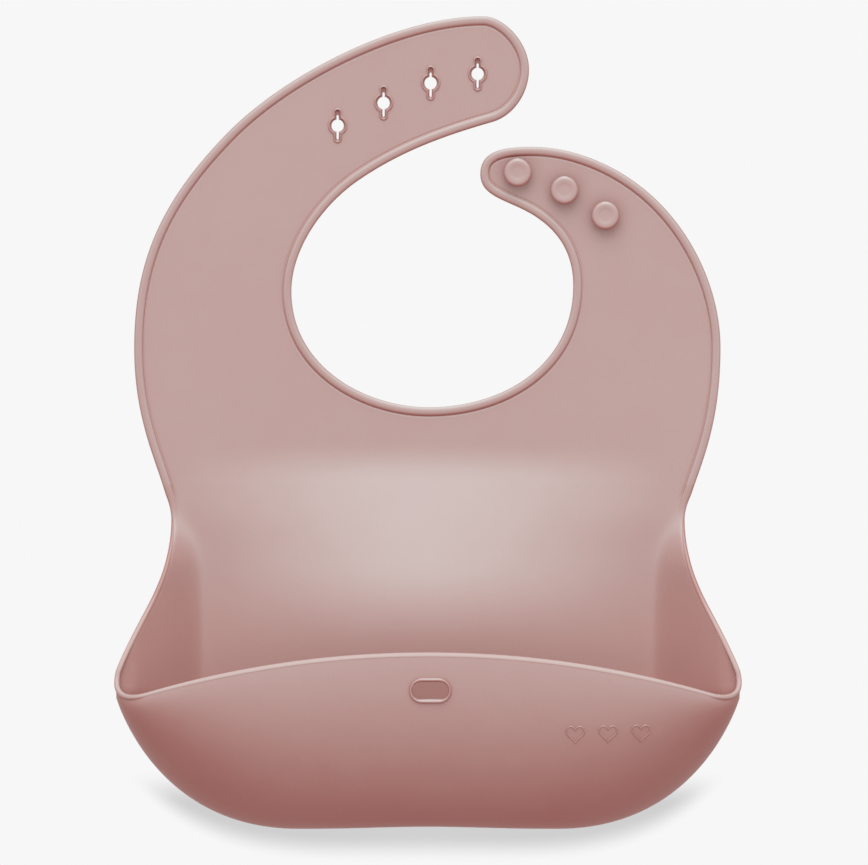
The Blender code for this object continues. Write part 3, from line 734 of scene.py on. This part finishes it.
def strap(name, side, low, high, joint, reach, inside):
    """Stretch of the sheet between two radial lines, with edge lines across one flex line."""
    mesh = SHEET.copy()
    halve(mesh, NECK, past_radial(side, low))
    if high is not None:
        halve(mesh, NECK, -past_radial(side, high))
    keep_island(mesh, inside)
    joint = JOINT[joint]
    hinge = Vector(joint["pos_m"]) / MM
    hinge.y = 0
    line = (hinge - NECK).normalized()
    way = Vector((-line.z, 0, line.x)) * side
    if way.dot(radial(side, low + 45)) < 0:
        way = -way
    for offset in range(-reach, reach + 1, 2):         # edge lines for it to bend along
        slice_mesh(mesh, hinge + way * offset, way)
    piece = make(name, mesh, "silicone_sheet")
    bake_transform(piece)
    return piece


SHOULDER_CUT = -12             # angle of the line between the chest and a shoulder
LEFT_CUT_1, LEFT_CUT_2 = 25, 67.5
RIGHT_CUT = 30
# name, side, lower and upper line, joint, reach of the bend, a place on the
# piece, the frame's parts it stands for
STRAPS = (
    ("left_shoulder", -1, SHOULDER_CUT, LEFT_CUT_1, "left_shoulder_bend", 14, (-85, 0, 60),
     ("left_shoulder_band",)),
    ("left_strap", -1, LEFT_CUT_1, LEFT_CUT_2, "left_strap_curl_1", 13, (-57, 0, 100),
     ("left_strap_middle", "keyhole_lip_1")),
    ("left_strap_end", -1, LEFT_CUT_2, None, "left_strap_curl_2", 7, (10, 0, 145),
     ("left_strap_tip", "keyhole_lip_2", "keyhole_lip_3", "keyhole_lip_4")),
    ("right_shoulder", 1, SHOULDER_CUT, RIGHT_CUT, "right_shoulder_bend", 14, (85, 0, 60),
     ("right_shoulder_band",)),
    ("right_strap_end", 1, RIGHT_CUT, None, "right_strap_curl", 6, (40, 0, 98),
     ("right_strap_tip",)),
)

SHEET = sheet_mesh()
for *strap_settings, replaced in STRAPS:
    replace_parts(strap(*strap_settings), *replaced)


def build_chest():
    """The sheet above the fold and below both shoulders: it stays flat."""
    mesh = SHEET.copy()
    for side in (-1, 1):
        halve(mesh, NECK, -past_radial(side, SHOULDER_CUT))
    halve(mesh, (0, 0, TOP_CUT), (0, 0, 1))
    chest = make("chest", mesh, "silicone_sheet")
    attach(chest, "chest")
    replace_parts(chest, "chest_panel")


build_chest()
SHEET.free()


# ---------------------------------------------------- fold, scoop and pocket
ACROSS_POINTS = 161


def ring_spec(bead):
    """One closed loop round the sheet's cross-section, as (side, inset, share
    across, height): the back face from left to right, round the right edge, the
    front face back, and round the left edge."""
    edge = profile(bead)
    inner = edge[0][0]
    shares = np.linspace(-1, 1, ACROSS_POINTS)
    return ([(0, inner, share, 0.0) for share in shares[1:-1]]
            + [(1, inset, 0, height) for inset, height in edge]
            + [(0, inner, share, SHEET_T) for share in shares[::-1][1:-1]]
            + [(-1, inset, 0, height) for inset, height in reversed(edge)])


def spread_x(spec, edges, slants):
    """X of a loop's points for the |x| and the slant of each side's edge."""
    xs = []
    for side, inset, share, _ in spec:
        ends = {s: s * (edges[s] - inset * slants[s]) for s in (-1, 1)}
        xs.append(ends[side] if side else ends[-1] + (ends[1] - ends[-1]) * (share + 1) / 2)
    return np.array(xs)


def heights(spec, x, amount):
    """Heights over the back face; amount thins the walls, so that they end
    inside the rim towards the mouth's corner."""
    thin = 1 - amount * 0.8 * (1 - below(np.abs(x), CORNER_X - 1.0, 8.0))
    return (np.array([s[3] for s in spec]) * thin)[:, None]


def sheet_loop(z):
    """Cross-section of the fold, scoop and gussets at height z."""
    spec = ring_spec(float(1 - below(z, -17.0, 15.0)))
    # drawn in from the silhouette, so that the edge ends inside the rim
    tuck = 0.45 * float(below(z, -28.0, 10.0)) + 0.62 * float(below(z, -80.0, 14.0))
    edges = {side: edge_x(side, z) - tuck for side in (-1, 1)}
    slants = {side: math.hypot(1, (edge_x(side, z + 1) - edge_x(side, z - 1)) / 2)
              for side in (-1, 1)}
    x = spread_x(spec, edges, slants)
    lift = heights(spec, x, float(below(z, -72.0, 22.0)))
    return sheet_face(x, z) + sheet_normals(x, z) * lift


def hull_loop(along):
    """Cross-section of the pocket at one row of its hull."""
    spec = ring_spec(0.0)
    reach = CORNER_X - 1.3
    x = spread_x(spec, {-1: reach, 1: reach}, {-1: 1, 1: 1})
    across = x / CORNER_X
    # normals are taken just short of the hull's ends
    normal = -normals(hull, np.clip(across, -0.985, 0.985), min(max(along, -0.985), 0.97),
                      0.004, 0.015)
    if normal[:, 1].sum() > 0 and along < -0.5:
        normal = -normal
    return hull(across, along) + normal * heights(spec, x, 1.0)


def close_end(mesh, ring):
    """Close a flat end loop with a strip from its back face to its front face."""
    inner = ACROSS_POINTS - 2
    edge = (len(ring) - 2 * inner) // 2
    back = ring[:inner]
    right = ring[inner:inner + edge]
    front = ring[inner + edge:2 * inner + edge]
    left = ring[2 * inner + edge:]
    for i in range(inner - 1):
        mesh.faces.new((back[i], back[i + 1], front[inner - 2 - i], front[inner - 1 - i]))
    mesh.faces.new([back[-1]] + right + [front[0]])
    mesh.faces.new([front[-1]] + left + [back[0]])


def shell(loops):
    mesh = bmesh.new()
    rings = loft(mesh, loops)
    for ring in (rings[0], rings[-1]):
        close_end(mesh, ring)
    return mesh


fold = make("chest_fold", shell([sheet_loop(z) for z in np.linspace(TOP_CUT, FOLD_CUT, 21)]),
            "silicone_sheet")
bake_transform(fold)

pocket_mesh = shell(
    [sheet_loop(z) for z in np.linspace(FOLD_CUT, MOUTH_Z, 54)[:-1]]
    + [hull_loop(along) for along in np.linspace(-1, 0, 26)[:-1]]
    + [hull_loop(along) for along in np.linspace(0, 1, 52)])


# --------------------------------------------------------------- roll-up slot
def wall_at(x, z):
    """Outer face of the front wall over x at height z, with its outward normal."""
    across = abs(x) / CORNER_X
    for _ in range(40):
        _, _, foot_z = contour(across)
        _, rim_z = crown(CORNER_X * across)
        cosine = max(-1, min(1, 1 - (z - foot_z) / (rim_z - foot_z)))
        along = math.acos(cosine) * 2 / math.pi
        point = hull(np.array([across]), along)[0]
        across += (abs(x) - point[0]) / CORNER_X
    side = -1 if x < 0 else 1
    normal = Vector(normals(hull, np.array([across]), along, 0.004, 0.01)[0]).normalized()
    if normal.y > 0:
        normal = -normal
    return (Vector((side * point[0], point[1], point[2])),
            Vector((side * normal.x, normal.y, normal.z)))


SLOT = mid_of("roll_slot_lip")
slot_mid, slot_out = wall_at(SLOT.x, SLOT.z)
slot_x = Vector((1, 0, 0))
slot_x = (slot_x - slot_out * slot_x.dot(slot_out)).normalized()
slot_up = slot_x.cross(slot_out)
if slot_up.z < 0:
    slot_up = -slot_up

LIP_W, LIP_H = size_of("roll_slot_lip").x, 9.4
# Rings of the lip: added to its width, added to its height, height above the wall
LIP_STEPS = (
    (0.5, 0.5, -0.35), (0.25, 0.25, 0.22), (-0.05, -0.05, 0.62), (-0.45, -0.5, 0.85),
    (-1.0, -1.2, 0.88), (-1.5, -1.9, 0.72), (-1.85, -2.5, 0.35), (-2.0, -2.8, -0.2),
    (-2.0, -2.8, -1.9), (-1.6, -2.4, -2.25), (-0.8, -1.4, -2.3), (-0.2, -0.7, -1.8),
)


def slot_ring(width, height, lift, end_points):
    """Stadium on the wall round the slot's middle."""
    radius = height / 2
    reach = width / 2 - radius
    points = []
    for centre, start in ((reach, -math.pi / 2), (-reach, math.pi / 2)):
        for i in range(end_points):
            angle = start + math.pi * i / (end_points - 1)
            points.append(slot_mid + slot_x * (centre + radius * math.cos(angle))
                          + slot_up * (radius * math.sin(angle)) + slot_out * lift)
    return points


def cut_slot(mesh, width, height):
    """Open the slot through both faces of the front wall: slice the wall along
    the slot's outline, remove what lies inside and join the two outlines."""
    outline = slot_ring(width, height, 0.0, 10)
    planes = []
    for i, start in enumerate(outline):
        end = outline[(i + 1) % len(outline)]
        if (end - start).length > 0.05:
            normal = (end - start).cross(slot_out).normalized()
            outward = normal if (slot_mid - start).dot(normal) < 0 else -normal
            planes.append((start, outward))

    def near(place, radius):
        offset = place / MM - slot_mid
        depth = offset.dot(slot_out)
        return (offset - slot_out * depth).length < radius and abs(depth) < 7

    for start, outward in planes:
        faces = [f for f in mesh.faces if near(f.calc_center_median(), 12.0)]
        geom = set(faces)
        for face in faces:
            geom.update(face.edges)
            geom.update(face.verts)
        slice_mesh(mesh, start, outward, geom=list(geom))
    inside = []
    for face in mesh.faces:
        centre = face.calc_center_median()
        if near(centre, 10.0) and all((centre / MM - start).dot(outward) < 1e-4
                                      for start, outward in planes):
            inside.append(face)
    bmesh.ops.delete(mesh, geom=inside, context="FACES")
    bmesh.ops.bridge_loops(mesh, edges=[e for e in mesh.edges if e.is_boundary])


lip_mesh = bmesh.new()
loft(lip_mesh, [slot_ring(LIP_W + width, LIP_H + height, lift, 14)
                for width, height, lift in LIP_STEPS], closed=True)
slot_lip = make("roll_slot", lip_mesh, "silicone_detail")

cut_slot(pocket_mesh, LIP_W - 0.9, LIP_H - 1.5)
pocket = make("scoop_and_pocket", pocket_mesh, "silicone_pocket")


# -------------------------------------------------- rounded rim of the mouth
def rim_half(side):
    """Middle line and radius of the rounded free edge, from the waist down the
    gusset, round the mouth's corner and along the front rim to the middle."""
    points, radii = [], []
    for z in np.arange(-27.0, -89.0, -1.6):
        radius = 0.85 + 0.23 * float(below(z, -30.0, 40.0))
        points.append(edge_point(side, z, radius))
        radii.append(radius)
    for x, y, z in CORNER_LINE[:-1]:
        points.append((side * x, y, z))
        radii.append(CORNER_R)
    for front_x in np.linspace(TURN_X, 0, 56):
        x, y, z = rim_middle(front_x)
        points.append((side * x, y, z))
        radii.append(float(rim_r(front_x)))
    return points, radii


left_points, left_radii = rim_half(-1)
right_points, right_radii = rim_half(1)
mouth_rim = sweep("mouth_rim", left_points + right_points[::-1][1:],
                  left_radii + right_radii[::-1][1:], "silicone_detail", sides=20,
                  look="silicone_rim")


# ------------------------------------------- raised hearts on the front wall
HEART_W = 7.0
HEART_POINTS = 44
HEART_X, HEART_Z = 56.0, -113.5        # middle of the first heart
HEART_PITCH = 12.5
HEART_RISE = 0.02                      # slope of the row


def heart(mid_x, mid_z):
    points = []
    for i in range(HEART_POINTS):
        t = 2 * math.pi * i / HEART_POINTS
        x = 16 * math.sin(t) ** 3
        z = 13 * math.cos(t) - 5 * math.cos(2 * t) - 2 * math.cos(3 * t) - math.cos(4 * t)
        # the curve itself is 32 wide
        point, normal = wall_at(mid_x + x * HEART_W / 32, mid_z + z * HEART_W / 32)
        points.append(point + normal * 0.02)
    return points


hearts = []
for i in range(3):
    offset = HEART_PITCH * i
    hearts.append(sweep(f"heart_{i + 1}", heart(HEART_X + offset, HEART_Z + HEART_RISE * offset),
                        [0.30] * HEART_POINTS, "silicone_pocket", sides=8, closed=True))

# lower bib: transforms go into the meshes, and the frame's parts they stand for are hidden
for piece in [pocket, slot_lip, mouth_rim] + hearts:
    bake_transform(piece)
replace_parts(pocket, "scoop_panel", "gusset_left", "gusset_right", "pocket_base", "pocket_belly",
            "pocket_corner_left", "pocket_corner_right", "pocket_front_wall")
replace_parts(slot_lip, "roll_slot_lip")
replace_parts(mouth_rim, "side_rim_left", "side_rim_right", "pocket_front_rim")


# --------------------------------------------------------------------- studs
def stud(name, part, body, down):
    """Round button on a neck, set a little below its part's middle."""
    low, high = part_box(part)
    low, high = low / MM, high / MM
    mid_x, mid_z = (low.x + high.x) / 2, (low.z + high.z) / 2 - down
    head_r, top = (high.x - low.x) / 2 + 0.35, -low.y
    under = top - 2.8                                  # underside of the head
    # (radius, height) from the foot in the sheet to the dished top
    points = [(2.9, SHEET_T - 0.4), (2.6, SHEET_T + 0.05), (2.3, SHEET_T + 0.45),
              (2.25, under - 0.4), (2.5, under - 0.05), (3.2, under),
              (head_r - 0.8, under + 0.02)]
    for i in range(1, 6):
        angle = math.radians(-90 + 90 * i / 5)
        points.append((head_r - 0.8 + 0.8 * math.cos(angle),
                       under + 0.82 + 0.8 * math.sin(angle)))
    for i in range(8):
        angle = math.radians(90 * i / 7)
        points.append((head_r - 1.25 + 1.25 * math.cos(angle),
                       top - 1.25 + 1.25 * math.sin(angle)))
    points += [(head_r - 1.7, top), (head_r - 2.3, top - 0.02), (head_r - 2.7, top - 0.07),
               (head_r - 3.1, top - 0.12), (head_r - 3.5, top - 0.14), (0.8, top - 0.15)]
    sides = 56
    turns = [2 * math.pi * k / sides for k in range(sides)]
    mesh = bmesh.new()
    rings = loft(mesh, [[(mid_x + radius * math.cos(turn), -height,
                          mid_z + radius * math.sin(turn)) for turn in turns]
                        for radius, height in points])
    mesh.faces.new(rings[0])
    mesh.faces.new(rings[-1])
    piece = make(name, mesh, "silicone_detail")
    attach(piece, body)
    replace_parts(piece, part)


stud("stud_a", "stud_1", "right_tip", down=0.6)
stud("stud_b", "stud_2", "right_shoulder", down=0.3)
stud("stud_c", "stud_3", "right_shoulder", down=0.3)


# -------------------------------------------- studio and camera (in metres)
def build_world():
    """Even pale grey to the camera; light that is a little stronger from above."""
    world = bpy.data.worlds.new("studio")
    bpy.context.scene.world = world
    world.use_nodes = True
    node, _, _ = node_maker(world.node_tree)
    direction = node("TexCoord").outputs["Generated"]
    strength = node("MapRange", {
        "Value": node("SeparateXYZ", {0: direction}).outputs["Z"],
        "From Min": -1, "From Max": 1, "To Min": 0.74, "To Max": 0.90})
    light = node("Background", {"Strength": strength.outputs[0]})
    seen = node("Background", {"Color": (0.93, 0.93, 0.93, 1)})
    to_camera = node("LightPath").outputs["Is Camera Ray"]
    shader = node("MixShader", {0: to_camera, 1: light.outputs[0], 2: seen.outputs[0]})
    node("OutputWorld", {0: shader.outputs[0]})


def sun(name, toward, strength, angle):
    """Sun shining along toward, its disc angle degrees wide."""
    light = bpy.data.lights.new(name, "SUN")
    light.energy = strength
    light.angle = math.radians(angle)
    lamp = bpy.data.objects.new(name, light)
    bpy.context.scene.collection.objects.link(lamp)
    lamp.rotation_mode = "QUATERNION"
    lamp.rotation_quaternion = Vector(toward).to_track_quat("-Z", "Y")


def table_material():
    """Clear but for a soft shadow in a band below the pocket."""
    material = bpy.data.materials.new("pale_table")
    material.use_nodes = True
    node, calc, mix = node_maker(material.node_tree)
    place = node("TexCoord").outputs["Object"]
    place_x, _, place_z = node("SeparateXYZ", {0: place}).outputs

    tilt = node("CombineXYZ", {0: 0.04, 1: -0.40, 2: 0.92}).outputs[0]
    occlusion = node("AmbientOcclusion", {"Distance": 0.034, "Normal": tilt}, samples=24)
    shade = node("MapRange", {
        "Value": occlusion.outputs["AO"],
        "From Min": 0.66, "From Max": 0.96, "To Min": 0.67, "To Max": 1.0}).outputs[0]

    def fade(value, start, end):
        """0 at height start to 1 at height end."""
        return node("MapRange", {"Value": value, "From Min": start, "From Max": end},
                    interpolation_type="SMOOTHSTEP").outputs[0]

    # the shadow ends about 10 mm below the pocket, sooner towards its sides
    aside = calc("MULTIPLY", calc("ABSOLUTE", place_x, 0.0), 1 / 0.0812)
    bend = calc("MULTIPLY", calc("POWER", aside, 4.0), 0.0078)
    upper = fade(place_z, -0.128, -0.142)
    lower = fade(calc("SUBTRACT", place_z, bend), -0.1645, -0.1535)
    # fades out when seen from the side or from behind
    incoming = node("NewGeometry").outputs["Incoming"]
    incoming_y = node("SeparateXYZ", {0: incoming}).outputs["Y"]
    from_front = calc("MULTIPLY_ADD", incoming_y, -3.0, -0.4, clamp=True)
    share = calc("MULTIPLY", calc("MULTIPLY", upper, lower), from_front)
    clear = node("BsdfTransparent", {0: mix(share, (1, 1, 1, 1), shade)})
    node("OutputMaterial", {0: clear.outputs[0]})
    return material


def build_table():
    """Pale table behind the pocket: takes only the pocket's soft shadow."""
    width, height, mid_z, gap = 0.52, 0.26, -0.155, 0.0012
    mesh = bmesh.new()
    bmesh.ops.create_grid(mesh, x_segments=1, y_segments=1, size=0.5)
    for vertex in mesh.verts:
        x, y, _ = vertex.co
        vertex.co = Vector((x * width, CAD_HI.y + gap, mid_z + y * height))
    data = bpy.data.meshes.new("table_patch")
    mesh.to_mesh(data)
    mesh.free()
    table = bpy.data.objects.new("table_patch", data)
    bpy.context.scene.collection.objects.link(table)
    data.materials.append(table_material())
    for ray in ("diffuse", "glossy", "transmission", "shadow", "volume_scatter"):
        setattr(table, "visible_" + ray, False)


def build_camera():
    """Long lens from straight in front."""
    view_width = 0.3324                # width of the framed plane through the sheet
    data = bpy.data.cameras.new("camera")
    data.lens = 800
    data.sensor_width = 36
    data.clip_start = 0.1
    data.clip_end = 40
    camera = bpy.data.objects.new("camera", data)
    bpy.context.scene.collection.objects.link(camera)
    camera.location = (0.0023, -data.lens * view_width / data.sensor_width, 0.0010)
    camera.rotation_euler = (math.pi / 2, 0, 0)
    bpy.context.scene.camera = camera


build_world()
sun("key_from_above", toward=(0.06, 0.62, -0.78), strength=1.0, angle=50)
sun("fill_from_front", toward=(-0.1, 1.0, -0.1), strength=0.35, angle=60)
sun("fill_from_behind", toward=(0.1, -1.0, -0.25), strength=0.45, angle=60)
build_table()
build_camera()

view = bpy.context.scene.view_settings
view.view_transform = "Standard"
view.look = "None"
view.exposure = 0.0
view.gamma = 1.0
